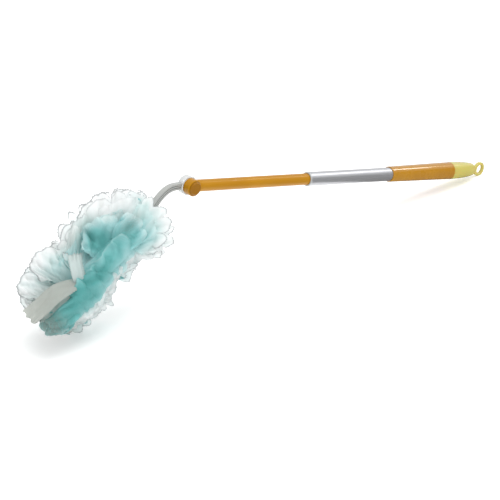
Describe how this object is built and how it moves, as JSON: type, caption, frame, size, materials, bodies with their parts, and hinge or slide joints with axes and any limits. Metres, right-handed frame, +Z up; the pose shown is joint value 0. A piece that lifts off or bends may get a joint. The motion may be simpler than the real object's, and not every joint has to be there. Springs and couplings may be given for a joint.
{
  "type": "telescopic duster",
  "caption": "Telescopic dusting wand: tapered grip with hang ring, two twist-lock tubes, locking hinge, arched fork and fluffy slip-on duster head.",
  "frame": {"origin": "on the surface the wand leans on, under the middle of its bounding box", "axes": "+Z up; +X along the wand from the duster to the hang ring; the head bends in the XZ plane, about an axis along Y"},
  "size_m": [0.8594, 0.1176, 0.1717],
  "materials": {
    "orange_plastic": "gloss",
    "cap_plastic": "gloss",
    "silver_tube": "satin",
    "gray_plastic": "satin",
    "clear_plastic": "gloss",
    "white_plastic": "satin",
    "steel": "satin",
    "white_nonwoven": "matte",
    "teal_tow": "matte"
  },
  "bodies": {
    "grip": {"grip_shell": "orange_plastic", "end_cap": "cap_plastic"},
    "middle_collet": {"middle_lock_collet": "white_plastic"},
    "middle_cone": {"middle_lock_cone": "white_plastic"},
    "middle_section": {"middle_tube": "silver_tube", "middle_mouth_bush": "gray_plastic", "middle_lock_plug": "gray_plastic", "middle_lock_washer": "steel"},
    "inner_collet": {"inner_lock_collet": "white_plastic"},
    "inner_cone": {"inner_lock_cone": "white_plastic"},
    "inner_section": {"inner_tube": "orange_plastic", "inner_lock_plug": "gray_plastic", "inner_lock_washer": "steel", "knuckle": "orange_plastic", "pivot_washer": "steel", "pivot_screw": "steel"},
    "button": {"pivot_button": "orange_plastic", "lock_gear": "white_plastic"},
    "fork": {"fork_hub": "clear_plastic", "fork_arm": "gray_plastic", "hub_cover": "clear_plastic", "pivot_spring": "steel"},
    "refill": {"sleeve_upper": "white_nonwoven", "sleeve_lower": "white_nonwoven", "sleeve_weld_left": "white_nonwoven", "sleeve_weld_middle": "white_nonwoven", "sleeve_weld_right": "white_nonwoven", "sleeve_weld_end": "white_nonwoven", "upper_fringe_inner": "white_nonwoven", "upper_tow": "teal_tow", "upper_fringe_middle": "white_nonwoven", "upper_fringe_outer": "white_nonwoven", "lower_fringe_inner": "white_nonwoven", "lower_tow": "teal_tow", "lower_fringe_middle": "white_nonwoven", "lower_fringe_outer": "white_nonwoven"}
  },
  "joints": [
    {"name": "middle_slide", "type": "slide", "parent": "grip", "child": "middle_collet", "axis": [0.9694, 0, -0.2453], "range_m": [0, 0.125]},
    {"name": "middle_twist", "type": "hinge", "parent": "middle_collet", "child": "middle_section", "pos_m": [-0.16487, 0, 0.15868], "axis": [0.9694, 0, -0.2453], "range_deg": [0, 180]},
    {"name": "middle_cone_run", "type": "slide", "parent": "middle_collet", "child": "middle_cone", "axis": [0.9694, 0, -0.2453], "range_m": [0, 0.0015]},
    {"name": "inner_slide", "type": "slide", "parent": "middle_section", "child": "inner_collet", "axis": [0.9694, 0, -0.2453], "range_m": [0, 0.135]},
    {"name": "inner_twist", "type": "hinge", "parent": "inner_collet", "child": "inner_section", "pos_m": [-0.16487, 0, 0.15868], "axis": [0.9694, 0, -0.2453], "range_deg": [0, 180]},
    {"name": "inner_cone_run", "type": "slide", "parent": "inner_collet", "child": "inner_cone", "axis": [0.9694, 0, -0.2453], "range_m": [0, 0.0015]},
    {"name": "button_press", "type": "slide", "parent": "inner_section", "child": "button", "axis": [0, 1, 0], "range_m": [0, 0.0025], "stiffness_N_per_m": 1200, "springref_m": -0.0015},
    {"name": "head_bend", "type": "hinge", "parent": "inner_section", "child": "fork", "pos_m": [-0.16487, 0, 0.15868], "axis": [0, -1, 0], "range_deg": [-44, 46]},
    {"name": "refill_slide", "type": "slide", "parent": "fork", "child": "refill", "axis": [-0.8678, 0, -0.497], "range_m": [0, 0.15]}
  ],
  "couplings": [
    {"joint": "middle_cone_run", "follows": "middle_twist", "m_per_rad": 0.00047746},
    {"joint": "inner_cone_run", "follows": "inner_twist", "m_per_rad": 0.00047746}
  ]
}
